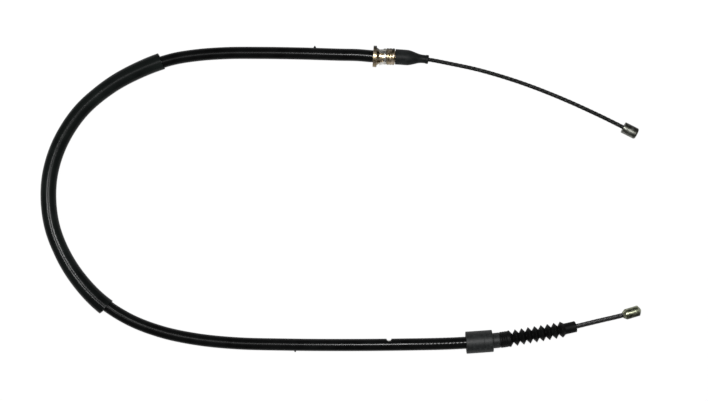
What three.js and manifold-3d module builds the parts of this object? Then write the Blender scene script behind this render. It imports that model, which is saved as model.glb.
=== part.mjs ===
// A parking brake cable that lies flat on a table, in millimetres, with +Z up.
// A steel rope slides in a lined and jacketed casing. Its lever end leaves a flanged ferrule
// through a dust boot, and its drum end leaves a plastic abutment through a bellows.
import * as THREE from "three";
import { mergeVertices } from "three/addons/utils/BufferGeometryUtils.js";
import Module from "manifold-3d";

const wasm = await Module();
wasm.setup();

// Clearances
const fitGap = 0.25; // around a piece inside another
const endGap = 0.3; // between two pieces end to end
const ropeGap = 0.35; // around the rope where it slides

// Rope and casing, from the inside out
const ropeDiameter = 3.3;
const drumRopeDiameter = 3.9; // the rope and its thin black coating
const linerWall = 0.5;
const conduitWall = 0.95;
const sheathWall = 0.95;

// Loose sleeve over the bend
const sleeveSetback = 169.75; // from the ferrule's flange along the casing
const sleeveLength = 254;
const sleeveWall = 0.8;
const sleevePlay = 0.6; // round the casing at mid bend
const leverSleeveFlare = 0.6; // what the end towards the lever adds to the radius
const drumSleeveFlare = 0.9;
const leverSleeveSlant = 0.11; // of the cut end, along the casing for each mm outwards
const drumSleeveSlant = -0.16;
const sleeveFlareLength = 60;

// Lever end
const leverNippleDiameter = 9.2;
const leverNippleLength = 12.2;
const leverNippleFloor = 3.2; // solid end behind the rope's hole
const leverNippleRound = 1.2; // of the far edge
const leverNippleMouth = 0.8; // countersink round the rope
const leverFreeRope = 166.1; // from the nipple to the boot
const bootLength = 26.6;
const bootLipLength = 2;
const bootLipRim = 0.27;
const bootNeckLength = 4.6; // from the tip to where the taper starts
const bootNeckWall = 1.3;
const bootTaperLength = 13;
const bootRootWall = 1.4;
const noseDiameter = 9;
const noseLength = 4.5;
const leverTailHidden = 3; // how far the sliding rope reaches into the nose
const barrelWall = 0.6;
const collarLength = 6.8;
const collarRim = 0.95; // height over the barrel
const crimpCount = 3;
const crimpDepth = 0.35;
const clipSeatLength = 5.7;
const coneLength = 2.1;
const coneRim = 1.5;
const flangeThickness = 2.9;
const flangeRim = 2.85;

// Spring clip on the ferrule
const clipThickness = 0.45;
const clipBandLength = 2;
const prongAngles = [-58, 32, 167]; // degrees round the ferrule, from straight up
const prongWidth = 3.4;
const prongRun = 3.6;
const prongRise = 1.25;

// Drum end
const drumNippleDiameter = 8.6;
const drumNippleLength = 15.1;
const drumNippleCone = 2.5;
const drumNippleLip = 0.2; // thin edge of the cone round the rope
const drumNippleCrown = 2; // length of the far end that narrows in two steps
const drumNippleShoulder = 2.4; // radius between the steps
const drumNippleTip = 0.7; // radius of the far face
const drumNippleFloor = 3.5;
const drumFreeRope = 39; // from the nipple to the bellows
const foldCount = 9;
const foldPitch = 5.26;
const foldDepth = 3.4;
const foldTaper = 0.25; // what the last fold's radius is short of the first's
const bellowsWall = 1; // along the radius
const bellowsPlay = 0.45; // round the rope in the valleys
const baseCuffLength = 6.5;
const baseCuffWall = 1;
const endCuffLength = 9.3;
const endCuffWall = 2.25;
const endCuffBead = 0.2;
const drumTailHidden = 2; // how far the sliding rope reaches past the cuff
const stroke = 20; // travel of the rope in the casing
const abutmentWall = 3.7;
const abutmentLength = 21.4;
const abutmentEdge = 0.5;
const collarWall = 1; // of the abutment's collar, over the sheath's hole
const abutmentCollarLength = 5.7;
const spigotDiameter = 10;
const spigotLength = 5.4;
const sheathSeatWall = 3.5; // plastic between the sheath's end and the step face

// Small marks on the jacket, by their place along it from the ferrule's flange
const upperBurr = { from: 46.8, height: 1.8, radius: 1.4 };
const lowerBurr = { from: 580, height: 1.1, radius: 1.2 };
const nick = { from: 655, depth: 1.9, radius: 2 };

// The casing's centreline from the lever nipple's far face to the drum nipple's
const routePoints = [
  [237, 52.43, 4.62],
  [207.25, 67.25, 4.66],
  [175.25, 81.65, 5],
  [143.25, 93.85, 6],
  [111.15, 103.45, 7.4],
  [87.15, 108.65, 8.4],
  [69.55, 111.95, 8.6],
  [55.95, 113.25, 8.6],
  [42.35, 114.2, 8.61],
  [26.35, 114.5, 8.61],
  [12.65, 115.55, 8.46],
  [-0.85, 115.85, 8.3],
  [-32.85, 116.85, 7.8],
  [-64.85, 117.35, 7.3],
  [-92.85, 117.15, 7],
  [-116.85, 115.35, 6.93],
  [-136.75, 111.85, 6.95],
  [-160.55, 103.35, 6.74],
  [-184.55, 90.55, 6.45],
  [-207.45, 71.35, 6.34],
  [-223.55, 47.45, 6.33],
  [-231.95, 23.55, 6.33],
  [-233.95, 2.05, 6.33],
  [-231.25, -20.35, 6.33],
  [-224.05, -40.15, 6.45],
  [-211.95, -60.15, 6.72],
  [-193.45, -80.15, 7.18],
  [-170.35, -95.45, 7.47],
  [-144.85, -105.45, 7.45],
  [-116.85, -111.55, 7.4],
  [-84.85, -114.85, 7.7],
  [-44.85, -115.95, 8.2],
  [3.15, -116.25, 8.7],
  [51.15, -115.85, 8.85],
  [87.15, -115.05, 8.85],
  [111.15, -113.65, 8.85],
  [127.15, -112.25, 8.85],
  [151.15, -108.45, 8.2],
  [177.95, -103.75, 7],
  [207.15, -97.05, 5],
  [225.9, -92.65, 4.47],
  [240.35, -88.4, 4.3],
];

// Sides of the round pieces, and the longest step and sharpest turn of a bent one
const roundSides = 24;
const tubeSides = 12;
const ropeSides = 8;
const longestStep = 28;
const sharpestTurn = THREE.MathUtils.degToRad(8);

const worldUp = new THREE.Vector3(0, 0, 1);
const route = new THREE.CatmullRomCurve3(
  routePoints.map((point) => new THREE.Vector3(...point)),
  false,
  "centripetal",
);
route.arcLengthDivisions = 4000;
const routeLength = route.getLength();

// Radii, from the rope outwards
const ropeRadius = ropeDiameter / 2;
const drumRopeRadius = drumRopeDiameter / 2;
const linerBore = ropeRadius + ropeGap;
const linerRadius = linerBore + linerWall;
const conduitBore = linerRadius + fitGap;
const conduitRadius = conduitBore + conduitWall;
const sheathBore = conduitRadius + fitGap;
const sheathRadius = sheathBore + sheathWall;
const fittingBore = sheathRadius + fitGap;
const barrelRadius = fittingBore + barrelWall;
const collarRadius = barrelRadius + collarRim;
const flangeRadius = barrelRadius + flangeRim;

// Places along the route, from the lever end
const leverNippleFace = leverNippleLength;
const bootTip = leverNippleFace + leverFreeRope;
const collarFront = bootTip + bootLength + endGap;
const noseTip = collarFront - noseLength;
const clipSeat = collarFront + collarLength;
const flangeFront = clipSeat + clipSeatLength + coneLength;
const flangeBack = flangeFront + flangeThickness;
const sheathLeverEnd = collarFront + collarLength / 2 + endGap;
const leverTailEnd = noseTip + leverTailHidden;

// Places along the route, back from the drum end
const drumNippleFace = routeLength - drumNippleLength;
const endCuffTip = drumNippleFace - drumFreeRope;
const endCuffStart = endCuffTip - endCuffLength;
const foldRun = (foldCount - 1) * foldPitch;
const lastFold = endCuffStart - foldPitch / 2;
const firstFold = lastFold - foldRun;
const baseCuffEnd = firstFold - foldPitch / 4;
const bellowsRoot = baseCuffEnd - baseCuffLength;
const collarFace = bellowsRoot - endGap;
const spigotTip = collarFace + spigotLength;
const stepFace = collarFace - abutmentCollarLength;
const abutmentBack = stepFace - abutmentLength;
const sheathDrumEnd = stepFace - sheathSeatWall;
const coreDrumEnd = endCuffStart - drumTailHidden - stroke - endGap;

// Sleeve
const sleeveStart = flangeBack + sleeveSetback;
const sleeveEnd = sleeveStart + sleeveLength;

// Turning frame of the route: x is its outer side, y runs along it and z is up
function frameAt(distance) {
  const share = THREE.MathUtils.clamp(distance / routeLength, 0, 1);
  const along = route.getTangentAt(share);
  const side = new THREE.Vector3().crossVectors(along, worldUp).normalize();
  const up = new THREE.Vector3().crossVectors(side, along);
  return new THREE.Matrix4().makeBasis(side, along, up).setPosition(route.getPointAt(share));
}

// Where a bent piece gets a ring: at each turn or long step, and where another piece ends
function findStations() {
  const walk = 2;
  const places = [sleeveStart, sleeveStart + sleeveFlareLength, sleeveEnd - sleeveFlareLength, sleeveEnd];
  places.push(bootTip, noseTip, sheathLeverEnd, flangeBack);
  places.push(abutmentBack, sheathDrumEnd, spigotTip, coreDrumEnd, endCuffStart, endCuffTip);
  let last = 0;
  for (let here = walk; here < routeLength; here += walk) {
    const turn = route.getTangentAt(last / routeLength).angleTo(route.getTangentAt(here / routeLength));
    if (turn > sharpestTurn || here - last > longestStep) {
      places.push(here);
      last = here;
    }
  }
  return places.sort((a, b) => a - b);
}
const stations = findStations();

// Adds the stations that an outline of [radius, distance] points passes between two of them
function withStations(outline, closed) {
  const points = [];
  const count = closed ? outline.length : outline.length - 1;
  for (let i = 0; i < count; i += 1) {
    const [fromRadius, from] = outline[i];
    const [toRadius, to] = outline[(i + 1) % outline.length];
    points.push([fromRadius, from]);
    const clear = (place) => Math.min(Math.abs(place - from), Math.abs(place - to)) > 0.5;
    const between = stations.filter((place) => (place - from) * (place - to) < 0 && clear(place));
    if (to < from) between.reverse();
    for (const place of between) {
      points.push([THREE.MathUtils.mapLinear(place, from, to, fromRadius, toRadius), place]);
    }
  }
  if (!closed) points.push(outline.at(-1));
  return points;
}

// Turns an outline of [radius, distance along the route] round the route. sideways moves a ring outwards,
// and slant moves it along the route for each mm outwards.
function turnedOnRoute(outline, sides, closed, sideways = () => 0, slant = () => 0) {
  const points = withStations(outline, closed);
  if (closed) points.push(points[0]);
  const geometry = new THREE.LatheGeometry(
    points.map(([radius, distance]) => new THREE.Vector2(radius, distance)),
    sides,
  );
  const position = geometry.getAttribute("position");
  const frames = new Map(points.map(([, distance]) => [Math.fround(distance), frameAt(distance)]));
  const vertex = new THREE.Vector3();
  for (let i = 0; i < position.count; i += 1) {
    vertex.fromBufferAttribute(position, i);
    const distance = vertex.y;
    const lean = slant(distance) * vertex.x;
    vertex.set(vertex.x + sideways(distance), lean, vertex.z).applyMatrix4(frames.get(distance));
    position.setXYZ(i, vertex.x, vertex.y, vertex.z);
  }
  return geometry;
}

const ring = (outline, sides = roundSides) => turnedOnRoute(outline, sides, true);
const plug = (outline, sides = roundSides) => turnedOnRoute(outline, sides, false);

function tube(radius, bore, from, to, sides = tubeSides) {
  return ring([[bore, from], [radius, from], [radius, to], [bore, to]], sides);
}

function rod(radius, from, to) {
  return plug([[0, from], [radius, from], [radius, to], [0, to]], ropeSides);
}

// Closed meshes to solids and back, for joins and cuts
function toSolid(geometry) {
  const bare = geometry.index ? geometry.toNonIndexed() : geometry.clone();
  const merged = mergeVertices(
    new THREE.BufferGeometry().setAttribute("position", bare.getAttribute("position")),
    1e-3,
  );
  return new wasm.Manifold(
    new wasm.Mesh({
      numProp: 3,
      vertProperties: merged.attributes.position.array,
      triVerts: new Uint32Array(merged.index.array),
    }),
  );
}

function toGeometry(solid) {
  const mesh = solid.getMesh();
  return new THREE.BufferGeometry()
    .setAttribute("position", new THREE.BufferAttribute(mesh.vertProperties, 3))
    .setIndex(new THREE.BufferAttribute(mesh.triVerts, 1));
}

// Casing
function outerSheath() {
  let solid = toSolid(tube(sheathRadius, sheathBore, sheathLeverEnd, sheathDrumEnd));
  for (const { from, height, radius } of [upperBurr, lowerBurr]) {
    const sunk = sheathWall / 2;
    const burr = new THREE.ConeGeometry(radius, height + sunk, 8)
      .rotateZ(-Math.PI / 2)
      .translate(sheathRadius - sunk + (height + sunk) / 2, 0, 0)
      .applyMatrix4(frameAt(flangeBack + from));
    solid = solid.add(toSolid(burr));
  }
  const cutter = new THREE.CylinderGeometry(nick.radius, nick.radius, 2 * fittingBore, 16)
    .rotateX(Math.PI / 2)
    .translate(-(sheathRadius + nick.radius - nick.depth), 0, 0)
    .applyMatrix4(frameAt(flangeBack + nick.from));
  return toGeometry(solid.subtract(toSolid(cutter)));
}

const conduitWinding = () => tube(conduitRadius, conduitBore, sheathLeverEnd, sheathDrumEnd);
const linerTube = () => tube(linerRadius, linerBore, noseTip, spigotTip, ropeSides);
const coreRope = () => rod(ropeRadius, leverTailEnd + endGap, coreDrumEnd);

// The sleeve lies against the casing's inner side, so its own line runs further out
function bendSleeve() {
  const midBore = sheathRadius + sleevePlay;
  const flareStart = sleeveStart + sleeveFlareLength;
  const flareEnd = sleeveEnd - sleeveFlareLength;
  const bores = [
    [midBore + leverSleeveFlare, sleeveStart],
    [midBore, flareStart],
    [midBore, flareEnd],
    [midBore + drumSleeveFlare, sleeveEnd],
  ];
  const shareLeft = (place) => THREE.MathUtils.clamp(1 - place / sleeveFlareLength, 0, 1);
  const boreAt = (place) =>
    midBore + leverSleeveFlare * shareLeft(place - sleeveStart) + drumSleeveFlare * shareLeft(sleeveEnd - place);
  const outside = bores.map(([bore, place]) => [bore + sleeveWall, place]);
  const sideways = (place) => boreAt(place) - sheathRadius - fitGap;
  const atEnd = 0.01;
  const slant = (place) => {
    if (place < sleeveStart + atEnd) return leverSleeveSlant;
    return place > sleeveEnd - atEnd ? drumSleeveSlant : 0;
  };
  return turnedOnRoute([...outside, ...bores.reverse()], tubeSides, true, sideways, slant);
}

// Lever end
function leverFerrule() {
  const edge = 0.3;
  const noseRadius = noseDiameter / 2;
  const ropeHole = linerRadius + fitGap;
  const crimpPitch = collarLength / crimpCount;
  const crimps = [];
  for (let i = 0; i < crimpCount; i += 1) {
    const from = collarFront + i * crimpPitch;
    crimps.push([collarRadius - crimpDepth, from + edge / 2]);
    crimps.push([collarRadius, from + crimpPitch * 0.35]);
    crimps.push([collarRadius, from + crimpPitch * 0.65]);
  }
  return ring([
    [ropeHole, noseTip],
    [noseRadius - edge, noseTip],
    [noseRadius, noseTip + edge],
    [noseRadius, collarFront],
    ...crimps,
    [collarRadius - crimpDepth, clipSeat],
    [barrelRadius, clipSeat],
    [barrelRadius, clipSeat + clipSeatLength],
    [barrelRadius + coneRim, flangeFront],
    [flangeRadius, flangeFront],
    [flangeRadius, flangeBack - edge],
    [flangeRadius - edge, flangeBack],
    [fittingBore, flangeBack],
    [fittingBore, sheathLeverEnd - endGap],
    [ropeHole, sheathLeverEnd - endGap],
  ]);
}

function leverRetainingClip() {
  const bore = barrelRadius + fitGap;
  const outside = bore + clipThickness;
  const from = clipSeat + endGap;
  const bandEnd = from + clipBandLength;
  let solid = toSolid(ring([[bore, from], [outside, from], [outside, bandEnd], [bore, bandEnd]]));
  const prong = new THREE.Shape([
    new THREE.Vector2(bore + clipThickness / 4, clipBandLength / 2),
    new THREE.Vector2(outside, clipBandLength / 2),
    new THREE.Vector2(outside + prongRise, clipBandLength + prongRun),
    new THREE.Vector2(outside + prongRise - clipThickness, clipBandLength + prongRun),
    new THREE.Vector2(bore + clipThickness / 4, clipBandLength),
  ]);
  for (const degrees of prongAngles) {
    const angle = THREE.MathUtils.degToRad(degrees);
    const blade = new THREE.ExtrudeGeometry(prong, { depth: prongWidth, bevelEnabled: false })
      .translate(0, 0, -prongWidth / 2)
      .rotateY(angle - Math.PI / 2)
      .applyMatrix4(frameAt(from));
    solid = solid.add(toSolid(blade));
  }
  return toGeometry(solid);
}

function leverBoot() {
  const lipBore = ropeRadius + ropeGap;
  const neckRadius = lipBore + bootNeckWall;
  const rootBore = noseDiameter / 2 + fitGap;
  const rootRadius = rootBore + bootRootWall;
  const root = bootTip + bootLength;
  const taper = (share) => THREE.MathUtils.smoothstep(share, 0, 1);
  const outside = [];
  const inside = [];
  for (const share of [0, 0.25, 0.5, 0.75, 1]) {
    const place = bootTip + bootNeckLength + share * bootTaperLength;
    outside.push([THREE.MathUtils.lerp(neckRadius, rootRadius, taper(share)), place]);
    inside.push([THREE.MathUtils.lerp(lipBore, rootBore, taper(share)), place + bootNeckWall]);
  }
  return ring(
    [
      [lipBore, bootTip],
      [neckRadius, bootTip],
      [neckRadius + bootLipRim, bootTip + bootLipLength / 4],
      [neckRadius + bootLipRim, bootTip + bootLipLength],
      [neckRadius, bootTip + bootLipLength + bootLipRim],
      ...outside,
      [rootRadius, root],
      [rootBore, root],
      ...inside.reverse(),
    ],
    tubeSides,
  );
}

const leverRope = () => rod(ropeRadius, leverNippleFloor + endGap, leverTailEnd);

function leverNipple() {
  const radius = leverNippleDiameter / 2;
  const hole = ropeRadius + fitGap;
  const edge = 0.2;
  return plug([
    [0, 0],
    [radius - leverNippleRound, 0],
    [radius - leverNippleRound * 0.3, leverNippleRound * 0.3],
    [radius, leverNippleRound],
    [radius, leverNippleFace - edge],
    [radius - edge, leverNippleFace],
    [hole + leverNippleMouth, leverNippleFace],
    [hole, leverNippleFace - leverNippleMouth],
    [hole, leverNippleFloor],
    [0, leverNippleFloor],
  ]);
}

// Drum end
function drumAbutment() {
  const radius = fittingBore + abutmentWall;
  const collar = fittingBore + collarWall;
  const spigot = spigotDiameter / 2;
  const hole = linerRadius + fitGap;
  return ring([
    [fittingBore, abutmentBack],
    [radius - abutmentEdge, abutmentBack],
    [radius, abutmentBack + abutmentEdge],
    [radius, stepFace - abutmentEdge],
    [radius - abutmentEdge, stepFace],
    [collar, stepFace],
    [collar, collarFace - abutmentEdge],
    [collar - abutmentEdge, collarFace],
    [spigot, collarFace],
    [spigot, spigotTip - abutmentEdge],
    [spigot - abutmentEdge, spigotTip],
    [hole, spigotTip],
    [hole, sheathDrumEnd + endGap],
    [fittingBore, sheathDrumEnd + endGap],
  ]);
}

function bellowsBoot() {
  const base = spigotDiameter / 2 + fitGap;
  const valley = drumRopeRadius + bellowsPlay + bellowsWall;
  const cuffBore = drumRopeRadius + fitGap;
  const cuff = cuffBore + endCuffWall;
  const outside = [];
  const inside = [];
  for (let i = 0; i < foldCount; i += 1) {
    const place = firstFold + i * foldPitch;
    const peak = valley + foldDepth - (foldTaper * i) / (foldCount - 1);
    outside.push([peak, place]);
    inside.push([peak - bellowsWall, place]);
    if (i < foldCount - 1) {
      outside.push([valley, place + foldPitch / 2]);
      inside.push([valley - bellowsWall, place + foldPitch / 2]);
    }
  }
  return ring(
    [
      [base, bellowsRoot],
      [base + baseCuffWall, bellowsRoot],
      [base + baseCuffWall, baseCuffEnd],
      ...outside,
      [cuff, endCuffStart],
      [cuff, endCuffTip - endCuffWall / 2],
      [cuff + endCuffBead, endCuffTip - endCuffWall / 3],
      [cuff + endCuffBead - endCuffWall / 4, endCuffTip],
      [cuffBore, endCuffTip],
      [cuffBore, endCuffStart + bellowsWall],
      ...inside.reverse(),
      [base, baseCuffEnd],
    ],
    tubeSides,
  );
}

const drumRope = () => rod(drumRopeRadius, endCuffStart - drumTailHidden, routeLength - drumNippleFloor - endGap);

function drumNipple() {
  const radius = drumNippleDiameter / 2;
  const hole = drumRopeRadius + ropeGap;
  return plug([
    [0, routeLength - drumNippleFloor],
    [hole, routeLength - drumNippleFloor],
    [hole, drumNippleFace],
    [hole + drumNippleLip, drumNippleFace],
    [radius, drumNippleFace + drumNippleCone],
    [radius, routeLength - drumNippleCrown],
    [drumNippleShoulder, routeLength - drumNippleCrown * 0.4],
    [drumNippleTip, routeLength],
    [0, routeLength],
  ]);
}

// Materials
const paint = (color, roughness, metalness = 0) => new THREE.MeshStandardMaterial({ color, roughness, metalness });
const jacketPlastic = paint(0x101011, 0.3);
const sleevePlastic = paint(0x161617, 0.5);
const bootRubber = paint(0x18191a, 0.65);
const abutmentNylon = paint(0x1d1f20, 0.55);
const windingSteel = paint(0xa9aaa8, 0.35, 1);
const linerPlastic = paint(0xe6e4da, 0.5);
const oiledRope = paint(0x222222, 0.45, 0.6);
const yellowZinc = paint(0x9a8f62, 0.35, 1);
const springSteel = paint(0xbfbdb8, 0.3, 1);
const greyZinc = paint(0x77776f, 0.45, 1);

const cable = new THREE.Group();

function add(name, geometry, material) {
  const mesh = new THREE.Mesh(geometry, material);
  mesh.name = name;
  cable.add(mesh);
}

add("outer_sheath", outerSheath(), jacketPlastic);
add("conduit_winding", conduitWinding(), windingSteel);
add("liner_tube", linerTube(), linerPlastic);
add("core_rope", coreRope(), oiledRope);
add("bend_sleeve", bendSleeve(), sleevePlastic);
add("lever_ferrule", leverFerrule(), yellowZinc);
add("lever_retaining_clip", leverRetainingClip(), springSteel);
add("lever_boot", leverBoot(), bootRubber);
add("lever_rope", leverRope(), oiledRope);
add("lever_nipple", leverNipple(), greyZinc);
add("drum_abutment", drumAbutment(), abutmentNylon);
add("bellows_boot", bellowsBoot(), bootRubber);
add("drum_rope", drumRope(), oiledRope);
add("drum_nipple", drumNipple(), yellowZinc);

export default cable;
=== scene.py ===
# A parking brake cable on a pale table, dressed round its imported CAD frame. Everything is in metres.
import math

import bmesh
import bpy
import numpy as np
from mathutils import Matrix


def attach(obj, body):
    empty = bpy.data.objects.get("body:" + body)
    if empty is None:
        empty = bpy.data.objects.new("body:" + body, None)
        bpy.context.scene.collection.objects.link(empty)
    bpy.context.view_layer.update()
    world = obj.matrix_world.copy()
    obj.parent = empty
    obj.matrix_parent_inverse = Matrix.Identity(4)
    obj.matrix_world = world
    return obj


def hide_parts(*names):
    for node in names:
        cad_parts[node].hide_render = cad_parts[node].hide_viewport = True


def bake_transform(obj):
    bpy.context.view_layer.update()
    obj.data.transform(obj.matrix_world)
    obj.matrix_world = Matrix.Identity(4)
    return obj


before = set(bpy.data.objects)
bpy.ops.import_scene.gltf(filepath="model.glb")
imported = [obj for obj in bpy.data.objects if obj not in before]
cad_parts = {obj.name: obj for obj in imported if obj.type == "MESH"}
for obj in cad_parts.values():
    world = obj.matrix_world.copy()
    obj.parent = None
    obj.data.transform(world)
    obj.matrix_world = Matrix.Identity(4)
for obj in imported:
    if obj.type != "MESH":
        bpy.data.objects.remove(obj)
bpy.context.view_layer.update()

MM = 0.001

# Clearances, as in the CAD
FIT_GAP = 0.25 * MM
END_GAP = 0.3 * MM
ROPE_GAP = 0.35 * MM

# Rope and casing
ROPE_RADIUS = 1.65 * MM
DRUM_ROPE_RADIUS = 1.95 * MM
LINER_RADIUS = ROPE_RADIUS + ROPE_GAP + 0.5 * MM
CONDUIT_RADIUS = LINER_RADIUS + FIT_GAP + 0.95 * MM
SHEATH_WALL = 0.95 * MM
SHEATH_BORE = CONDUIT_RADIUS + FIT_GAP
SHEATH_RADIUS = SHEATH_BORE + SHEATH_WALL
FITTING_BORE = SHEATH_RADIUS + FIT_GAP

# What the fittings share with the pieces on them
FERRULE_BARREL = FITTING_BORE + 0.6 * MM
NOSE_RADIUS = 4.5 * MM
SPIGOT_RADIUS = 5 * MM
NIPPLE_FLOOR = 3.5 * MM

# The cable's centreline from the lever nipple's far face to the drum nipple's, the CAD's own points
ROUTE_POINTS = [
    (0.237, 0.05243, 0.00462),
    (0.20725, 0.06725, 0.00466),
    (0.17525, 0.08165, 0.005),
    (0.14325, 0.09385, 0.006),
    (0.11115, 0.10345, 0.0074),
    (0.08715, 0.10865, 0.0084),
    (0.06955, 0.11195, 0.0086),
    (0.05595, 0.11325, 0.0086),
    (0.04235, 0.1142, 0.00861),
    (0.02635, 0.1145, 0.00861),
    (0.01265, 0.11555, 0.00846),
    (-0.00085, 0.11585, 0.0083),
    (-0.03285, 0.11685, 0.0078),
    (-0.06485, 0.11735, 0.0073),
    (-0.09285, 0.11715, 0.007),
    (-0.11685, 0.11535, 0.00693),
    (-0.13675, 0.11185, 0.00695),
    (-0.16055, 0.10335, 0.00674),
    (-0.18455, 0.09055, 0.00645),
    (-0.20745, 0.07135, 0.00634),
    (-0.22355, 0.04745, 0.00633),
    (-0.23195, 0.02355, 0.00633),
    (-0.23395, 0.00205, 0.00633),
    (-0.23125, -0.02035, 0.00633),
    (-0.22405, -0.04015, 0.00645),
    (-0.21195, -0.06015, 0.00672),
    (-0.19345, -0.08015, 0.00718),
    (-0.17035, -0.09545, 0.00747),
    (-0.14485, -0.10545, 0.00745),
    (-0.11685, -0.11155, 0.0074),
    (-0.08485, -0.11485, 0.0077),
    (-0.04485, -0.11595, 0.0082),
    (0.00315, -0.11625, 0.0087),
    (0.05115, -0.11585, 0.00885),
    (0.08715, -0.11505, 0.00885),
    (0.11115, -0.11365, 0.00885),
    (0.12715, -0.11225, 0.00885),
    (0.15115, -0.10845, 0.0082),
    (0.17795, -0.10375, 0.007),
    (0.20715, -0.09705, 0.005),
    (0.2259, -0.09265, 0.00447),
    (0.24035, -0.0884, 0.0043),
]
PLACES_PER_SPAN = 120


# Route

def centripetal_curve(points):
    """Closely spaced places on the smooth curve through the points, and the distance along it of each."""
    points = np.array(points)
    knots = np.vstack([2 * points[0] - points[1], points, 2 * points[-1] - points[-2]])
    share = np.linspace(0, 1, PLACES_PER_SPAN, endpoint=False)[:, None]
    spans = []
    for before, start, end, after in zip(knots, knots[1:], knots[2:], knots[3:]):
        pace_before, pace, pace_after = (
            math.sqrt(np.linalg.norm(b - a)) for a, b in ((before, start), (start, end), (end, after))
        )
        leave = (start - before) / pace_before + (end - start) / pace
        leave -= (end - before) / (pace_before + pace)
        arrive = (end - start) / pace - (after - start) / (pace + pace_after) + (after - end) / pace_after
        leave = leave * pace
        arrive = arrive * pace
        spans.append(
            start
            + leave * share
            + (3 * (end - start) - 2 * leave - arrive) * share**2
            + (2 * (start - end) + leave + arrive) * share**3
        )
    spans.append(points[-1:])
    places = np.vstack(spans)
    steps = np.linalg.norm(np.diff(places, axis=0), axis=1)
    return places, np.concatenate([[0], np.cumsum(steps)])


ROUTE, ROUTE_RUN = centripetal_curve(ROUTE_POINTS)
ROUTE_LENGTH = float(ROUTE_RUN[-1])


def centre_at(run):
    """Points of the route at these distances along it."""
    return np.stack([np.interp(run, ROUTE_RUN, ROUTE[:, axis]) for axis in range(3)], axis=-1)


def frame_at(run):
    """The route's centre, outer side, upward and forward directions at these distances."""
    run = np.asarray(run, float)
    reach = 0.4 * MM
    along = centre_at(np.minimum(run + reach, ROUTE_LENGTH)) - centre_at(np.maximum(run - reach, 0))
    along /= np.linalg.norm(along, axis=-1, keepdims=True)
    side = np.cross(along, (0, 0, 1))
    side /= np.linalg.norm(side, axis=-1, keepdims=True)
    return centre_at(run), side, np.cross(side, along), along


def point_at(run, out=0.0, lift=0.0):
    """One point beside the route, as plain numbers."""
    centre, side, up, _ = frame_at(run)
    return [float(value) for value in centre + side * out + up * lift]


# Places along the route, from the lever end
LEVER_NIPPLE_FACE = 12.2 * MM
BOOT_TIP = LEVER_NIPPLE_FACE + 166.1 * MM
BOOT_LENGTH = 26.6 * MM
COLLAR_FRONT = BOOT_TIP + BOOT_LENGTH + END_GAP
COLLAR_LENGTH = 6.8 * MM
NOSE_TIP = COLLAR_FRONT - 4.5 * MM
CLIP_SEAT = COLLAR_FRONT + COLLAR_LENGTH
CLIP_SEAT_LENGTH = 5.7 * MM
FLANGE_FRONT = CLIP_SEAT + CLIP_SEAT_LENGTH + 2.1 * MM
FLANGE_BACK = FLANGE_FRONT + 2.9 * MM
SHEATH_LEVER_END = COLLAR_FRONT + COLLAR_LENGTH / 2 + END_GAP
LEVER_TAIL_END = NOSE_TIP + 3 * MM
SLEEVE_START = FLANGE_BACK + 169.75 * MM
SLEEVE_END = SLEEVE_START + 254 * MM

# Places along the route, back from the drum end
DRUM_NIPPLE_FACE = ROUTE_LENGTH - 15.1 * MM
END_CUFF_TIP = DRUM_NIPPLE_FACE - 39 * MM
END_CUFF_START = END_CUFF_TIP - 9.3 * MM
FOLD_COUNT = 9
FOLD_PITCH = 5.26 * MM
LAST_FOLD = END_CUFF_START - FOLD_PITCH / 2
FIRST_FOLD = LAST_FOLD - (FOLD_COUNT - 1) * FOLD_PITCH
BASE_CUFF_END = FIRST_FOLD - FOLD_PITCH / 4
BELLOWS_ROOT = BASE_CUFF_END - 6.5 * MM
COLLAR_FACE = BELLOWS_ROOT - END_GAP
SPIGOT_TIP = COLLAR_FACE + 5.4 * MM
STEP_FACE = COLLAR_FACE - 5.7 * MM
ABUTMENT_BACK = STEP_FACE - 21.4 * MM
SHEATH_DRUM_END = STEP_FACE - 3.5 * MM


# Camera, straight above the table with a long lens

IMAGE_WIDTH = 708
PIXEL = 0.8 * MM  # on the table
LENS = 100
SENSOR = 36
CAMERA_AIM = (10.35 * MM, -0.75 * MM, 7.5 * MM)


def make_camera():
    """A camera straight above its aim, as high as the picture's width needs."""
    data = bpy.data.cameras.new("camera")
    data.lens = LENS
    data.sensor_width = SENSOR
    data.clip_end = 10
    camera = bpy.data.objects.new("camera", data)
    height = IMAGE_WIDTH * PIXEL * LENS / SENSOR
    camera.location = (CAMERA_AIM[0], CAMERA_AIM[1], CAMERA_AIM[2] + height)
    bpy.context.scene.collection.objects.link(camera)
    bpy.context.scene.camera = camera


make_camera()


# Meshes

def eased(outline, ease, closed=True):
    """The outline with each corner cut to a small arc."""
    points = [np.array(point) for point in outline]
    count = len(points)
    made = []
    for i, corner in enumerate(points):
        if not closed and i in (0, count - 1):
            made.append(corner)
            continue
        before = points[i - 1] - corner
        after = points[(i + 1) % count] - corner
        lengths = np.linalg.norm(before), np.linalg.norm(after)
        cosine = before @ after / (lengths[0] * lengths[1])
        if cosine < -0.995:
            made.append(corner)
            continue
        start = before * min(ease / lengths[0], 0.45)
        end = after * min(ease / lengths[1], 0.45)
        for share in (0, 0.25, 0.5, 0.75, 1):
            made.append(corner + start * (1 - share) ** 2 + end * share**2)
    return [tuple(point) for point in made]


def stepped(outline, step, closed=True):
    """The outline with points added so that none is further than a step along the route from the next."""
    made = []
    count = len(outline) if closed else len(outline) - 1
    for i in range(count):
        (from_radius, start), (to_radius, end) = outline[i], outline[(i + 1) % len(outline)]
        pieces = max(1, math.ceil(abs(end - start) / step))
        for k in range(pieces):
            share = k / pieces
            made.append((from_radius + (to_radius - from_radius) * share, start + (end - start) * share))
    if not closed:
        made.append(outline[-1])
    return made


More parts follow.
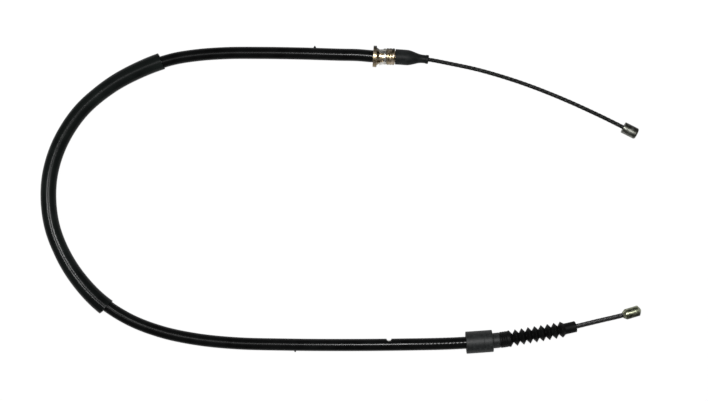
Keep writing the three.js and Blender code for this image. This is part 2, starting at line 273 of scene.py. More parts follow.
def turned(outline, sides, closed=True, step=2 * MM, shape=None, sideways=None, slant=None):
    """A shell turned round the route from (radius, distance) points, outer surface first.
    shape changes the radii by distance and angle, sideways moves the rings to the outer side, and slant
    moves them along the route for each metre outwards."""
    points = np.array(stepped(outline, step, closed))
    radius, run = points[:, 0], points[:, 1]
    centre, side, up, along = frame_at(run)
    if sideways:
        centre = centre + side * sideways(run)[:, None]
    angle = np.linspace(0, 2 * math.pi, sides, endpoint=False)
    radii = np.repeat(radius[:, None], sides, axis=1)
    if shape:
        radii = shape(radii, run[:, None], angle[None, :])
    around = side[:, None] * np.sin(angle)[None, :, None] + up[:, None] * np.cos(angle)[None, :, None]
    verts = centre[:, None] + around * radii[:, :, None]
    if slant:
        lean = slant(run)[:, None] * radii * np.sin(angle)[None, :]
        verts = verts + along[:, None] * lean[:, :, None]
    rings = len(points)
    faces = []
    turns = []
    for i in range(rings if closed else rings - 1):
        following = (i + 1) % rings
        for j in range(sides):
            beside = (j + 1) % sides
            faces.append((
                i * sides + j, i * sides + beside, following * sides + beside, following * sides + j,
            ))
            for ring, turn in ((i, j), (i, j + 1), (following, j + 1), (following, j)):
                turns.append((turn / sides, run[ring], radius[ring]))
    return verts.reshape(-1, 3), faces, turns


def plate(outer, inner):
    """A closed plate between two grids of points."""
    rows, columns = outer.shape[:2]
    verts = np.concatenate([outer.reshape(-1, 3), inner.reshape(-1, 3)])
    below = rows * columns
    faces = []
    for i in range(rows - 1):
        for j in range(columns - 1):
            here = i * columns + j
            quad = (here, here + 1, here + columns + 1, here + columns)
            faces.append(quad)
            faces.append(tuple(below + corner for corner in reversed(quad)))
    rim = list(range(columns))
    rim += [i * columns + columns - 1 for i in range(1, rows)]
    rim += [(rows - 1) * columns + j for j in range(columns - 2, -1, -1)]
    rim += [i * columns for i in range(rows - 2, 0, -1)]
    for here, there in zip(rim, rim[1:] + rim[:1]):
        faces.append((here, below + here, below + there, there))
    return verts, faces, [(0.0, 0.0, 0.0)] * sum(len(face) for face in faces)


def make_piece(name, parts, sharp=35):
    """One object from shells. The attribute turned holds each corner's turn, distance and radius."""
    verts, faces, turns = [], [], []
    for part_verts, part_faces, part_turns in parts:
        first = sum(len(group) for group in verts)
        verts.append(part_verts)
        faces += [tuple(first + corner for corner in face) for face in part_faces]
        turns += part_turns
    mesh = bpy.data.meshes.new(name)
    mesh.from_pydata(np.concatenate(verts).tolist(), [], faces)
    attribute = mesh.attributes.new("turned", "FLOAT_VECTOR", "CORNER")
    attribute.data.foreach_set("vector", np.array(turns, np.float32).ravel())
    work = bmesh.new()
    work.from_mesh(mesh)
    bmesh.ops.remove_doubles(work, verts=work.verts, dist=0.5e-6)
    bmesh.ops.recalc_face_normals(work, faces=work.faces)
    work.to_mesh(mesh)
    work.free()
    mesh.shade_smooth()
    mesh.set_sharp_from_angle(angle=math.radians(sharp))
    piece = bpy.data.objects.new(name, mesh)
    bpy.context.scene.collection.objects.link(piece)
    return piece


def dress(piece, material, slot, body, *nodes):
    """Gives a piece its finish and its body, and puts it in the place of its CAD nodes. The slot is not
    used.
    """
    piece.data.materials.append(material)
    if body:
        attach(piece, body)
    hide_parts(*nodes)
    return piece


# Materials

def linear(code):
    """An sRGB hex colour as linear red, green, blue and alpha."""
    channels = [int(code[i:i + 2], 16) / 255 for i in (1, 3, 5)]
    return [c / 12.92 if c <= 0.04045 else ((c + 0.055) / 1.055) ** 2.4 for c in channels] + [1]


def add(tree, kind, inputs, **settings):
    """Adds a node with its settings, and fills its inputs with values or other nodes' outputs."""
    node = tree.nodes.new(kind)
    for name, value in settings.items():
        setattr(node, name, value)
    for name, value in inputs.items():
        if isinstance(value, bpy.types.NodeSocket):
            tree.links.new(value, node.inputs[name])
        else:
            node.inputs[name].default_value = value
    return node


def new_material(name, **sockets):
    """A material and its shader, with these sockets set."""
    made = bpy.data.materials.new(name)
    made.use_nodes = True
    shader = made.node_tree.nodes["Principled BSDF"]
    for socket, value in sockets.items():
        shader.inputs[socket.replace("_", " ")].default_value = value
    return made, made.node_tree, shader


def object_place(tree):
    """The place on the piece, in metres."""
    return add(tree, "ShaderNodeTexCoord", {}).outputs["Object"]


def mottle(tree, size, detail=3.0, roughness=0.55):
    """Noise whose blotches are about this wide."""
    return add(tree, "ShaderNodeTexNoise", {
        "Vector": object_place(tree), "Scale": 1 / size, "Detail": detail, "Roughness": roughness,
    }).outputs["Fac"]


def blend_colours(tree, factor, stops):
    """Colours picked by a factor, from (place, sRGB hex) stops."""
    ramp = add(tree, "ShaderNodeValToRGB", {"Fac": factor})
    elements = ramp.color_ramp.elements
    for place, _ in stops[1:-1]:
        elements.new(place)
    for element, (place, code) in zip(elements, stops):
        element.position = place
        element.color = linear(code)
    return ramp.outputs["Color"]


def spread(tree, factor, low, high):
    """The factor's middle half spread from low to high."""
    return add(tree, "ShaderNodeMapRange", {
        "Value": factor, "From Min": 0.25, "From Max": 0.75, "To Min": low, "To Max": high,
    }).outputs["Result"]


def roughen(tree, shader, height, depth, strength=1.0):
    """A bump of this depth from a height between 0 and 1."""
    bump = add(tree, "ShaderNodeBump", {"Height": height, "Distance": depth, "Strength": strength})
    tree.links.new(bump.outputs["Normal"], shader.inputs["Normal"])


def jacket_pvc():
    """Extruded black PVC: glossy, with faint dull patches where it has been handled."""
    made, tree, shader = new_material("extruded black PVC", Specular_IOR_Level=0.07)
    patches = mottle(tree, 14 * MM)
    colour = blend_colours(tree, patches, [(0.3, "#030303"), (0.7, "#090a0a")])
    tree.links.new(colour, shader.inputs["Base Color"])
    tree.links.new(spread(tree, patches, 0.19, 0.25), shader.inputs["Roughness"])
    roughen(tree, shader, mottle(tree, 1.2 * MM, 4.0), 0.03 * MM)
    return made


def sleeve_polyethylene():
    """Cut black polyethylene tube: satin, with faint dull patches and a fine grain."""
    made, tree, shader = new_material("satin black polyethylene", Specular_IOR_Level=0.06)
    patches = mottle(tree, 22 * MM)
    colour = blend_colours(tree, patches, [(0.3, "#060707"), (0.7, "#0f1211")])
    tree.links.new(colour, shader.inputs["Base Color"])
    tree.links.new(spread(tree, patches, 0.19, 0.26), shader.inputs["Roughness"])
    roughen(tree, shader, mottle(tree, 1.6 * MM, 4.0), 0.05 * MM)
    return made


def moulded_rubber(name, dark, light, low, high):
    """Moulded rubber: a faint sheen, a grain of 0.7 mm and paler dust in patches."""
    made, tree, shader = new_material(name, Specular_IOR_Level=0.07)
    patches = mottle(tree, 5 * MM, 5.0)
    colour = blend_colours(tree, patches, [(0.3, dark), (0.7, light)])
    tree.links.new(colour, shader.inputs["Base Color"])
    tree.links.new(spread(tree, patches, low, high), shader.inputs["Roughness"])
    roughen(tree, shader, mottle(tree, 0.7 * MM, 3.0), 0.06 * MM)
    return made


def glass_filled_nylon():
    """Moulded black nylon with glass fibre: matt, with a streaky grain that greys its highlights."""
    made, tree, shader = new_material("glass-filled black nylon", Specular_IOR_Level=0.22)
    streaks = mottle(tree, 2.5 * MM, 6.0, 0.7)
    colour = blend_colours(tree, streaks, [(0.3, "#090a0a"), (0.55, "#151717"), (0.75, "#262a29")])
    tree.links.new(colour, shader.inputs["Base Color"])
    tree.links.new(spread(tree, streaks, 0.42, 0.6), shader.inputs["Roughness"])
    roughen(tree, shader, mottle(tree, 0.8 * MM, 4.0), 0.08 * MM)
    return made


def plated_steel(name, stops, size, low, high, dent, outer_side_shade="#1c1b15"):
    """Turned or cast metal with a thin zinc coat: stained in patches, brighter where it is worn.
    Its side away from the loop is darkened by painted shade, a painted dark reflection broken up by the
    stain noise."""
    made, tree, shader = new_material(name, Metallic=1.0)
    stains = mottle(tree, size, 5.0, 0.65)
    turned_at = add(tree, "ShaderNodeAttribute", {}, attribute_name="turned").outputs["Vector"]
    turn = add(tree, "ShaderNodeSeparateXYZ", {"Vector": turned_at}).outputs["X"]
    angle = add(tree, "ShaderNodeMath", {0: turn, 1: 2 * math.pi}, operation="MULTIPLY").outputs[0]
    outward = add(tree, "ShaderNodeMath", {0: angle}, operation="SINE").outputs[0]
    patchy = add(tree, "ShaderNodeMath", {0: outward, 1: stains}, operation="SUBTRACT").outputs[0]
    # Painted shade: the side away from the loop is mixed towards a dark colour, standing in for a dark
    # reflection, broken by the stains
    painted_shade_mask = add(tree, "ShaderNodeMapRange", {
        "Value": patchy, "From Min": -0.25, "From Max": 0.35,
    }).outputs["Result"]
    mixed = add(tree, "ShaderNodeMix", {
        0: painted_shade_mask, 6: blend_colours(tree, stains, stops), 7: linear(outer_side_shade),
    }, data_type="RGBA").outputs[2]
    tree.links.new(mixed, shader.inputs["Base Color"])
    tree.links.new(spread(tree, stains, low, high), shader.inputs["Roughness"])
    roughen(tree, shader, mottle(tree, 0.9 * MM, 4.0), dent)
    return made


def oiled_rope(name, wire, crown, lay, strands, metallic):
    """Drawn steel wires under black oil: dark, with grey dashes where the wires of each strand rise, partly
    wiped oil and partly a painted highlight.
    """
    made, tree, shader = new_material(name, Metallic=metallic, Roughness=0.38)
    turned_at = add(tree, "ShaderNodeAttribute", {}, attribute_name="turned").outputs["Vector"]
    parts = add(tree, "ShaderNodeSeparateXYZ", {"Vector": turned_at}).outputs
    # The wires twist against the strands, about three times as steeply
    wires = 2.0 * strands
    wires_per_metre = -3.0 * strands / lay
    around = add(tree, "ShaderNodeMath", {0: parts["X"], 1: wires}, operation="MULTIPLY").outputs[0]
    along = add(tree, "ShaderNodeMath", {0: parts["Y"], 1: wires_per_metre}, operation="MULTIPLY").outputs[0]
    phase = add(tree, "ShaderNodeMath", {0: around, 1: along}, operation="ADD").outputs[0]
    angle = add(tree, "ShaderNodeMath", {0: phase, 1: 2 * math.pi}, operation="MULTIPLY").outputs[0]
    wave = add(tree, "ShaderNodeMath", {0: angle}, operation="SINE").outputs[0]
    ridge = add(tree, "ShaderNodeMapRange", {"Value": wave, "From Min": -1.0}).outputs["Result"]
    # The wire crowns are painted paler: partly oil wiped off them, partly a painted highlight
    oil = mottle(tree, 3 * MM)
    crown_wear_and_highlight = add(tree, "ShaderNodeMath", {0: ridge, 1: oil}, operation="MULTIPLY").outputs[0]
    colour = blend_colours(tree, crown_wear_and_highlight, [(0.25, wire), (0.55, crown)])
    tree.links.new(colour, shader.inputs["Base Color"])
    roughen(tree, shader, ridge, 0.12 * MM)
    return made


def drawn_wire():
    """Bright wound steel wire, ribbed at each turn."""
    turn_pitch = 1.3 * MM
    made, tree, shader = new_material("wound steel wire", Metallic=1.0, Roughness=0.3)
    stains = mottle(tree, 4 * MM)
    colour = blend_colours(tree, stains, [(0.3, "#8d8d8a"), (0.7, "#d0cfca")])
    tree.links.new(colour, shader.inputs["Base Color"])
    # The wave texture has a ridge each 2 pi / 20 at scale 1
    scale = 2 * math.pi / (20 * turn_pitch)
    wave = add(tree, "ShaderNodeTexWave", {"Vector": object_place(tree), "Scale": scale})
    roughen(tree, shader, wave.outputs["Fac"], 0.3 * MM)
    return made


def natural_liner():
    """Natural polyethylene liner: milky and waxy."""
    made, tree, shader = new_material("natural polyethylene", IOR=1.51, Roughness=0.4, Subsurface_Weight=0.1)
    colour = blend_colours(tree, mottle(tree, 6 * MM), [(0.3, "#d8d5c8"), (0.7, "#ece9df")])
    tree.links.new(colour, shader.inputs["Base Color"])
    return made


JACKET = jacket_pvc()
SLEEVE = sleeve_polyethylene()
BOOT_RUBBER = moulded_rubber("charcoal boot rubber", "#0a0b0b", "#181a1a", 0.42, 0.56)
BELLOWS_RUBBER = moulded_rubber("black bellows rubber", "#040404", "#090a0a", 0.4, 0.55)
NYLON = glass_filled_nylon()
# Each zinc and steel finish below is darkened by painted shade on the side away from the loop, in a dark
# colour of its own
YELLOW_ZINC = plated_steel(
    "yellow-passivated zinc",
    [(0.25, "#3e382a"), (0.42, "#75694f"), (0.58, "#a3947f"), (0.78, "#cdbfae")],
    3 * MM, 0.24, 0.38, 0.05 * MM,
)
GREY_ZINC = plated_steel(
    "grey cast zinc",
    [(0.28, "#3c3d37"), (0.5, "#5f605a"), (0.72, "#8a8b86")],
    2.4 * MM, 0.26, 0.42, 0.07 * MM,
)
OLIVE_ZINC = plated_steel(
    "olive-passivated zinc",
    [(0.25, "#2f3324"), (0.42, "#55594a"), (0.58, "#8b8d78"), (0.78, "#c9c8ae")],
    3 * MM, 0.24, 0.36, 0.05 * MM, outer_side_shade="#14160d",
)
SPRING_STEEL = plated_steel(
    "bright spring steel",
    [(0.3, "#8b8984"), (0.7, "#dedcd6")],
    3 * MM, 0.16, 0.28, 0.02 * MM, outer_side_shade="#6b6962",
)

# How far the strands of each rope go for one turn
LEVER_LAY = 23 * MM
DRUM_LAY = 26 * MM
STRANDS = 6
LEVER_ROPE = oiled_rope("oiled steel rope", "#050505", "#2a2b2a", LEVER_LAY, STRANDS, 0.8)
DRUM_ROPE = oiled_rope("coated steel rope", "#030303", "#0a0a0a", DRUM_LAY, STRANDS, 0.2)
WINDING = drawn_wire()
LINER = natural_liner()


# Cords: the two ropes and the casing's jacket

def stranded(lay, fill):
    """Changes a rod's radius to strands that twist round it. A coating fills their grooves by the fill."""
    def shape(radii, run, angle):
        pitch = 2 * math.pi / STRANDS
        off_crown = (angle + 2 * math.pi * run / lay + pitch / 2) % pitch - pitch / 2
        strand = radii / 3
        middle = radii - strand
        inside = np.maximum(strand**2 - (middle * np.sin(off_crown)) ** 2, 0)
        return radii * fill + (middle * np.cos(off_crown) + np.sqrt(inside)) * (1 - fill)
    return shape


def make_rope(name, radius, start, end, lay, fill):
    """A rod turned round the route, with its strands."""
    outline = [(0, start), (radius, start), (radius, end), (0, end)]
    return make_piece(name, [turned(outline, 48, False, 0.8 * MM, stranded(lay, fill))], 60)


def path_between(start, end, step=8 * MM):
    """Points of the route from start to end."""
    return [point_at(run) for run in np.linspace(start, end, math.ceil((end - start) / step) + 1)]


LEVER_ROPE_START = 3.2 * MM + END_GAP
DRUM_ROPE_START = END_CUFF_START - 2 * MM
DRUM_ROPE_END = ROUTE_LENGTH - NIPPLE_FLOOR - END_GAP

# The winding shows through the jacket near the abutment, and the jacket has marks along it
RIPPLE_PITCH = 3 * MM
RIPPLE = 0.03 * MM
RIPPLE_START = ABUTMENT_BACK - 45 * MM
RIPPLE_EASE = 10 * MM
BURRS = [(46.8 * MM, 1.8 * MM, 1.4 * MM), (580 * MM, 1.1 * MM, 1.2 * MM)]
NICK = FLANGE_BACK + 655 * MM
NICK_DEPTH = 1.9 * MM
NICK_RADIUS = 2 * MM
NICK_HEIGHT = 2 * FITTING_BORE


def rippled(radii, run, angle):
    """Lets the winding's turns show on the outside of the jacket."""
    wave = np.cos(2 * math.pi * run / RIPPLE_PITCH + angle)
    depth = RIPPLE * np.clip((run - RIPPLE_START) / RIPPLE_EASE, 0, 1)
    outside = radii > SHEATH_BORE + SHEATH_WALL / 2
    return np.where(outside, radii + depth * (wave - 1), radii)


def burr(place, height, radius):
    """A small melted point that stands out of the jacket's outer side."""
    sunk = SHEATH_WALL / 2
    centre, side, up, along = frame_at(FLANGE_BACK + place)
    sides = 14
    levels = np.linspace(0, 1, 7)
    verts = []
    for level in levels:
        wide = radius * (1 - level) ** 0.8 + 0.02 * MM
        out = SHEATH_RADIUS - sunk + (height + sunk) * level
        for turn in np.linspace(0, 2 * math.pi, sides, endpoint=False):
            verts.append(centre + side * out + (along * math.cos(turn) + up * math.sin(turn)) * wide)
    faces = [tuple(reversed(range(sides)))]
    for i in range(len(levels) - 1):
        for j in range(sides):
            beside = (j + 1) % sides
            here, above = i * sides, (i + 1) * sides
            faces.append((here + j, here + beside, above + beside, above + j))
    faces.append(tuple((len(levels) - 1) * sides + j for j in range(sides)))
    return np.array(verts), faces, [(0.0, 0.0, 0.0)] * sum(len(face) for face in faces)


def nick_cutter():
    """A short upright rod at the jacket's inner side."""
    sides = 24
    centre, side, up, along = frame_at(NICK)
    middle = centre - side * (SHEATH_RADIUS + NICK_RADIUS - NICK_DEPTH)
    verts = []
    for level in (-NICK_HEIGHT / 2, NICK_HEIGHT / 2):
        for turn in np.linspace(0, 2 * math.pi, sides, endpoint=False):
            ring = (along * math.cos(turn) + side * math.sin(turn)) * NICK_RADIUS
            verts.append(middle + up * level + ring)
    faces = [(j, (j + 1) % sides, sides + (j + 1) % sides, sides + j) for j in range(sides)]
    faces += [tuple(range(sides)), tuple(range(2 * sides - 1, sides - 1, -1))]
    return np.array(verts), faces, [(0.0, 0.0, 0.0)] * sum(len(face) for face in faces)


def carve(piece, shell, operation):
    """Joins a shell to a piece, or cuts it out."""
    tool = make_piece("carving_tool", [shell])
    change = piece.modifiers.new("carve", "BOOLEAN")
    change.object = tool
    change.operation = operation
    change.solver = "EXACT"
    graph = bpy.context.evaluated_depsgraph_get()
    mesh = bpy.data.meshes.new_from_object(piece.evaluated_get(graph))
    piece.modifiers.clear()
    piece.data = mesh
    bpy.data.objects.remove(tool)


def make_jacket():
    """The casing's jacket with its burrs and its nick."""
    outside = [(SHEATH_RADIUS, SHEATH_LEVER_END), (SHEATH_RADIUS, SHEATH_DRUM_END)]
    outside = stepped(outside, 0.5 * MM, False)
    inside = [(SHEATH_BORE, SHEATH_DRUM_END), (SHEATH_BORE, SHEATH_LEVER_END)]
    piece = make_piece("casing_jacket", [turned(outside + inside, 32, True, 3 * MM, rippled)])
    for size in BURRS:
        carve(piece, burr(*size), "UNION")
    carve(piece, nick_cutter(), "DIFFERENCE")
    return piece


lever_rope = make_rope("lever_rope_strands", ROPE_RADIUS, LEVER_ROPE_START, LEVER_TAIL_END, LEVER_LAY, 0.3)
dress(lever_rope, LEVER_ROPE, "rope", "lever_end", "lever_rope")
drum_rope = make_rope("drum_rope_strands", DRUM_ROPE_RADIUS, DRUM_ROPE_START, DRUM_ROPE_END, DRUM_LAY, 0.75)
dress(drum_rope, DRUM_ROPE, "rope", "drum_end", "drum_rope")
jacket = dress(make_jacket(), JACKET, "jacket", "casing", "outer_sheath")


# Lever end

def make_lever_nipple():
    """A cast barrel with a rounded far edge and a countersunk mouth."""
    radius = 4.6 * MM
    hole = ROPE_RADIUS + FIT_GAP
    floor = 3.2 * MM
    far_round = 1.2 * MM
    mouth = 0.8 * MM
    outline = [
        (0, 0),
        (radius - far_round, 0),
        (radius - far_round * 0.3, far_round * 0.3),
        (radius, far_round),
        (radius, LEVER_NIPPLE_FACE),
        (hole + mouth, LEVER_NIPPLE_FACE),
        (hole, LEVER_NIPPLE_FACE - mouth),
        (hole, floor),
        (0, floor),
    ]
    return make_piece("lever_nipple_barrel", [turned(eased(outline, 0.3 * MM, False), 64, False)])


def make_ferrule():
    """A turned ferrule: nose, crimped collar, clip seat, cone and flange."""
    hole = LINER_RADIUS + FIT_GAP
    collar = FERRULE_BARREL + 0.95 * MM
    flange = FERRULE_BARREL + 2.85 * MM
    cone = FERRULE_BARREL + 1.5 * MM
    crimp_count = 3
    crimp_depth = 0.35 * MM
    pitch = COLLAR_LENGTH / crimp_count
    crimps = []
    for i in range(crimp_count):
        start = COLLAR_FRONT + i * pitch
        crimps += [
            (collar - crimp_depth, start + pitch * 0.08),
            (collar, start + pitch * 0.35),
            (collar, start + pitch * 0.65),
        ]
    outline = [
        (hole, NOSE_TIP),
        (NOSE_RADIUS - 0.2 * MM, NOSE_TIP),
        (NOSE_RADIUS, NOSE_TIP + 0.3 * MM),
        (NOSE_RADIUS, COLLAR_FRONT),
        *crimps,
        (collar - crimp_depth, CLIP_SEAT),
        (FERRULE_BARREL, CLIP_SEAT),
        (FERRULE_BARREL, CLIP_SEAT + CLIP_SEAT_LENGTH),
        (cone, FLANGE_FRONT),
        (flange, FLANGE_FRONT),
        (flange, FLANGE_BACK),
        (FITTING_BORE, FLANGE_BACK),
        (FITTING_BORE, SHEATH_LEVER_END - END_GAP),
        (hole, SHEATH_LEVER_END - END_GAP),
    ]
    return make_piece("turned_ferrule", [turned(eased(outline, 0.22 * MM), 96)])


def make_clip():
    """A band of spring steel with prongs that rise towards the flange."""
    thickness = 0.45 * MM
    bore = FERRULE_BARREL + FIT_GAP
    outside = bore + thickness
    band = 2 * MM
    start = CLIP_SEAT + END_GAP
    rise = 1.25 * MM
    run = 3.6 * MM
    width = 3.4 * MM
    prong_angles = (-58, 32, 167)
    ring = [(bore, start), (outside, start), (outside, start + band), (bore, start + band)]
    parts = [turned(eased(ring, 0.12 * MM), 96)]
    rows = np.linspace(0, 1, 9)
    columns = np.linspace(-1, 1, 9)
    for degrees in prong_angles:
        angle = math.radians(degrees)
        outer = np.zeros((len(rows), len(columns), 3))
        inner = np.zeros_like(outer)
        for r, share in enumerate(rows):
            centre, side, up, _ = frame_at(start + band / 2 + share * (band / 2 + run))
            lift = rise * share**1.5
            half = width / 2 / outside * (1 - 0.3 * share**4)
            for c, across in enumerate(columns):
                turn = angle + across * half
                around = side * math.sin(turn) + up * math.cos(turn)
                outer[r, c] = centre + around * (outside + lift)
                inner[r, c] = centre + around * (outside + lift - thickness * 0.9)
        parts.append(plate(outer, inner))
    return make_piece("three_prong_clip", parts)


def make_boot():
    """A dust boot with a lip on the rope, drawn out from its wide root by an S-shaped taper."""
    lip_bore = ROPE_RADIUS + ROPE_GAP
    neck_wall = 1.3 * MM
    neck = lip_bore + neck_wall
    lip = neck + 0.27 * MM
    lip_length = 2 * MM
    neck_length = 4.6 * MM
    taper_length = 13 * MM
    root_bore = NOSE_RADIUS + FIT_GAP
    root_radius = root_bore + 1.4 * MM
    root = BOOT_TIP + BOOT_LENGTH
    outside, inside = [], []
    for share in np.linspace(0, 1, 15):
        taper = share * share * (3 - 2 * share)
        place = BOOT_TIP + neck_length + share * taper_length
        outside.append((neck + (root_radius - neck) * taper, place))
        inside.append((lip_bore + (root_bore - lip_bore) * taper, place + neck_wall))
    outline = [
        (lip_bore, BOOT_TIP),
        (neck, BOOT_TIP),
        (lip, BOOT_TIP + lip_length / 4),
        (lip, BOOT_TIP + lip_length),
        (neck, BOOT_TIP + lip_length + 0.27 * MM),
        *outside,
        (root_radius, root),
        (root_bore, root),
        *reversed(inside),
    ]
    return make_piece("dust_boot", [turned(eased(outline, 0.3 * MM), 64)])


def make_sleeve():
    """The loose sleeve: it lies against the casing's inner side, so its own line runs further out."""
    play = 0.6 * MM
    lever_flare = 0.6 * MM
    drum_flare = 0.9 * MM
    flare_length = 60 * MM
    lever_slant = 0.11
    drum_slant = -0.16
    slant_length = 12 * MM
    wall = 0.8 * MM
    middle_bore = SHEATH_RADIUS + play

    def share_left(run, length):
        return np.clip(1 - run / length, 0, 1)

    def bore_at(run):
        from_lever = lever_flare * share_left(run - SLEEVE_START, flare_length)
        return middle_bore + from_lever + drum_flare * share_left(SLEEVE_END - run, flare_length)

    def slant_at(run):
        from_lever = lever_slant * share_left(run - SLEEVE_START, slant_length)
        return from_lever + drum_slant * share_left(SLEEVE_END - run, slant_length)

    runs = np.linspace(SLEEVE_START, SLEEVE_END, 128)
    bores = [(float(bore_at(run)), float(run)) for run in runs]
    outline = [(bore + wall, run) for bore, run in bores] + bores[::-1]

    def sideways_at(run):
        return bore_at(run) - SHEATH_RADIUS - FIT_GAP

    shell = turned(outline, 48, sideways=sideways_at, slant=slant_at)
    return make_piece("loose_sleeve", [shell])


lever_nipple = dress(make_lever_nipple(), GREY_ZINC, "grey_zinc", "lever_end", "lever_nipple")
dress(make_ferrule(), YELLOW_ZINC, "yellow_zinc", "casing", "lever_ferrule")
dress(make_clip(), SPRING_STEEL, "spring_steel", "casing", "lever_retaining_clip")
dress(make_boot(), BOOT_RUBBER, "boot_rubber", "casing", "lever_boot")
dress(make_sleeve(), SLEEVE, "sleeve", "casing", "bend_sleeve")


# Drum end

def make_abutment():
    """A moulded abutment: body, step, collar and the spigot under the bellows."""
    body = FITTING_BORE + 3.7 * MM
    collar = FITTING_BORE + 1 * MM
    hole = LINER_RADIUS + FIT_GAP
    seam = ABUTMENT_BACK + 14.6 * MM
    groove = 0.12 * MM
    outline = [
        (FITTING_BORE, ABUTMENT_BACK),
        (body, ABUTMENT_BACK),
        (body, seam - groove),
        (body - groove, seam),
        (body, seam + groove),
        (body, STEP_FACE),
        (collar, STEP_FACE),
        (collar, COLLAR_FACE),
        (SPIGOT_RADIUS, COLLAR_FACE),
        (SPIGOT_RADIUS, SPIGOT_TIP),
        (hole, SPIGOT_TIP),
        (hole, SHEATH_DRUM_END + END_GAP),
        (FITTING_BORE, SHEATH_DRUM_END + END_GAP),
    ]
    return make_piece("moulded_abutment", [turned(eased(outline, 0.5 * MM), 96)])


def make_bellows():
    """A bellows with sharp folds, a ribbed base cuff and a plain end cuff."""
    wall = 1 * MM
    base = SPIGOT_RADIUS + FIT_GAP
    base_outside = base + 1 * MM
    rib = 0.35 * MM
    rib_length = 1 * MM
    rib_pitch = 1.7 * MM
    first_rib = BELLOWS_ROOT + 0.8 * MM
    valley = DRUM_ROPE_RADIUS + 0.45 * MM + wall
    fold = 3.4 * MM
    taper = 0.25 * MM
    cuff_bore = DRUM_ROPE_RADIUS + FIT_GAP
    cuff_wall = 2.25 * MM
    cuff = cuff_bore + cuff_wall
    bead = 0.2 * MM
    outside, inside = [], []
    for i in range(FOLD_COUNT):
        place = FIRST_FOLD + i * FOLD_PITCH
        peak = valley + fold - taper * i / (FOLD_COUNT - 1)
        outside.append((peak, place))
        inside.append((peak - wall, place))
        if i < FOLD_COUNT - 1:
            outside.append((valley, place + FOLD_PITCH / 2))
            inside.append((valley - wall, place + FOLD_PITCH / 2))
    ribs = []
    for i in range(3):
        place = first_rib + i * rib_pitch
        ribs += [
            (base_outside, place),
            (base_outside + rib, place + rib_length / 2),
            (base_outside, place + rib_length),
        ]
    outline = [
        (base, BELLOWS_ROOT),
        (base_outside, BELLOWS_ROOT),
        *ribs,
        (base_outside, BASE_CUFF_END),
        *outside,
        (cuff, END_CUFF_START),
        (cuff, END_CUFF_TIP - cuff_wall / 2),
        (cuff + bead, END_CUFF_TIP - cuff_wall / 3),
        (cuff + bead - cuff_wall / 4, END_CUFF_TIP),
        (cuff_bore, END_CUFF_TIP),
        (cuff_bore, END_CUFF_START + wall),
        *reversed(inside),
        (base, BASE_CUFF_END),
    ]
    return make_piece("folded_bellows", [turned(eased(outline, 0.25 * MM), 64)])


def make_drum_nipple():
    """A turned nipple with a conical shoulder round the rope and a crowned far end."""
    radius = 4.3 * MM
    hole = DRUM_ROPE_RADIUS + ROPE_GAP
    cone_length = 2.5 * MM
    crown = 2 * MM
    crown_shoulder = 2.4 * MM
    crown_tip = 0.7 * MM
    outline = [
        (0, ROUTE_LENGTH - NIPPLE_FLOOR),
        (hole, ROUTE_LENGTH - NIPPLE_FLOOR),
        (hole, DRUM_NIPPLE_FACE),
        (hole + 0.2 * MM, DRUM_NIPPLE_FACE),
        (radius, DRUM_NIPPLE_FACE + cone_length),
        (radius, ROUTE_LENGTH - crown),
        (crown_shoulder, ROUTE_LENGTH - crown * 0.4),
        (crown_tip, ROUTE_LENGTH),
        (0, ROUTE_LENGTH),
    ]
    return make_piece("drum_nipple_barrel", [turned(eased(outline, 0.2 * MM, False), 64, False)])


dress(make_abutment(), NYLON, "nylon", "casing", "drum_abutment")
bellows = dress(make_bellows(), BELLOWS_RUBBER, "bellows_rubber", None, "bellows_boot")
point_at(BASE_CUFF_END)
point_at(END_CUFF_START)
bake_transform(bellows)
drum_nipple = dress(make_drum_nipple(), OLIVE_ZINC, "yellow_zinc", "drum_end", "drum_nipple")

for node, material in (("conduit_winding", WINDING), ("liner_tube", LINER), ("core_rope", LEVER_ROPE)):
    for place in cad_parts[node].material_slots:
        place.material = material

point_at(BOOT_TIP)
path_between(LEVER_ROPE_START, LEVER_TAIL_END)
point_at(END_CUFF_TIP)
path_between(DRUM_ROPE_START, DRUM_ROPE_END)
point_at(ABUTMENT_BACK)
path_between(SHEATH_LEVER_END, SHEATH_DRUM_END)


# Table, lamps and world

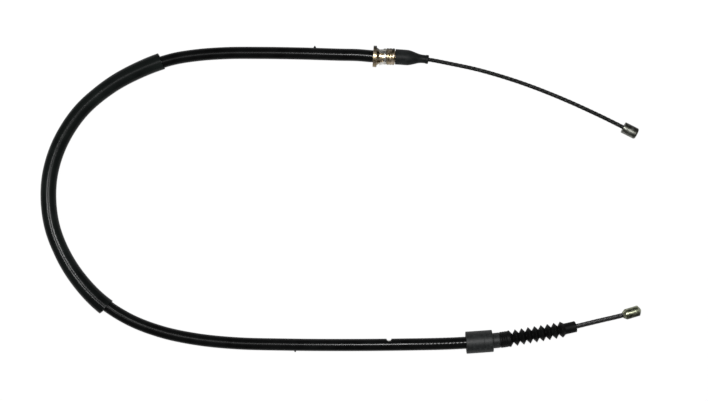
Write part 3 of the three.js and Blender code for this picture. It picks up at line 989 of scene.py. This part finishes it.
def make_table():
    """A white table that stays white in the picture and keeps a soft shadow."""
    half = 3
    whiteness = 0.96
    corners = [(-half, -half, 0), (half, -half, 0), (half, half, 0), (-half, half, 0)]
    mesh = bpy.data.meshes.new("table")
    mesh.from_pydata(corners, [], [(0, 1, 2, 3)])
    table = bpy.data.objects.new("table", mesh)
    table.location.z = -0.05 * MM
    bpy.context.scene.collection.objects.link(table)
    made, tree, shader = new_material("white table", Roughness=0.9, Specular_IOR_Level=0.1)
    shader.inputs["Base Color"].default_value = linear("#ffffff")
    ray = add(tree, "ShaderNodeLightPath", {}).outputs
    seen = ray["Is Camera Ray"]
    for kind in ("Is Glossy Ray", "Is Transmission Ray"):
        seen = add(tree, "ShaderNodeMath", {
            0: seen, 1: ray[kind],
        }, operation="ADD", use_clamp=True).outputs[0]
    seen = add(tree, "ShaderNodeMath", {0: seen, 1: whiteness}, operation="MULTIPLY").outputs[0]
    glow = add(tree, "ShaderNodeEmission", {"Color": (1, 1, 1, 1), "Strength": 1.0}).outputs[0]
    mixed = add(tree, "ShaderNodeMixShader", {0: seen, 1: shader.outputs[0], 2: glow}).outputs[0]
    tree.links.new(mixed, tree.nodes["Material Output"].inputs["Surface"])
    mesh.materials.append(made)


def make_lamp(name, place, size, power):
    """A level square lamp that shines straight down."""
    data = bpy.data.lights.new(name, "AREA")
    data.shape = "SQUARE"
    data.size = size
    data.energy = power
    lamp = bpy.data.objects.new(name, data)
    lamp.location = place
    bpy.context.scene.collection.objects.link(lamp)


def make_world():
    """A weak even white light from all round."""
    world = bpy.data.worlds.new("studio")
    bpy.context.scene.world = world
    world.use_nodes = True
    background = world.node_tree.nodes["Background"]
    background.inputs["Color"].default_value = (1, 1, 1, 1)
    background.inputs["Strength"].default_value = 0.2


make_table()
# Two small lamps, one for each line of light that the black plastic mirrors
make_lamp("top right softbox", (0.055, 0.15, 1.3), 0.1, 18)
make_lamp("left softbox", (-0.6, -0.047, 1.5), 0.1, 15)
make_world()
bpy.context.scene.view_settings.view_transform = "Standard"
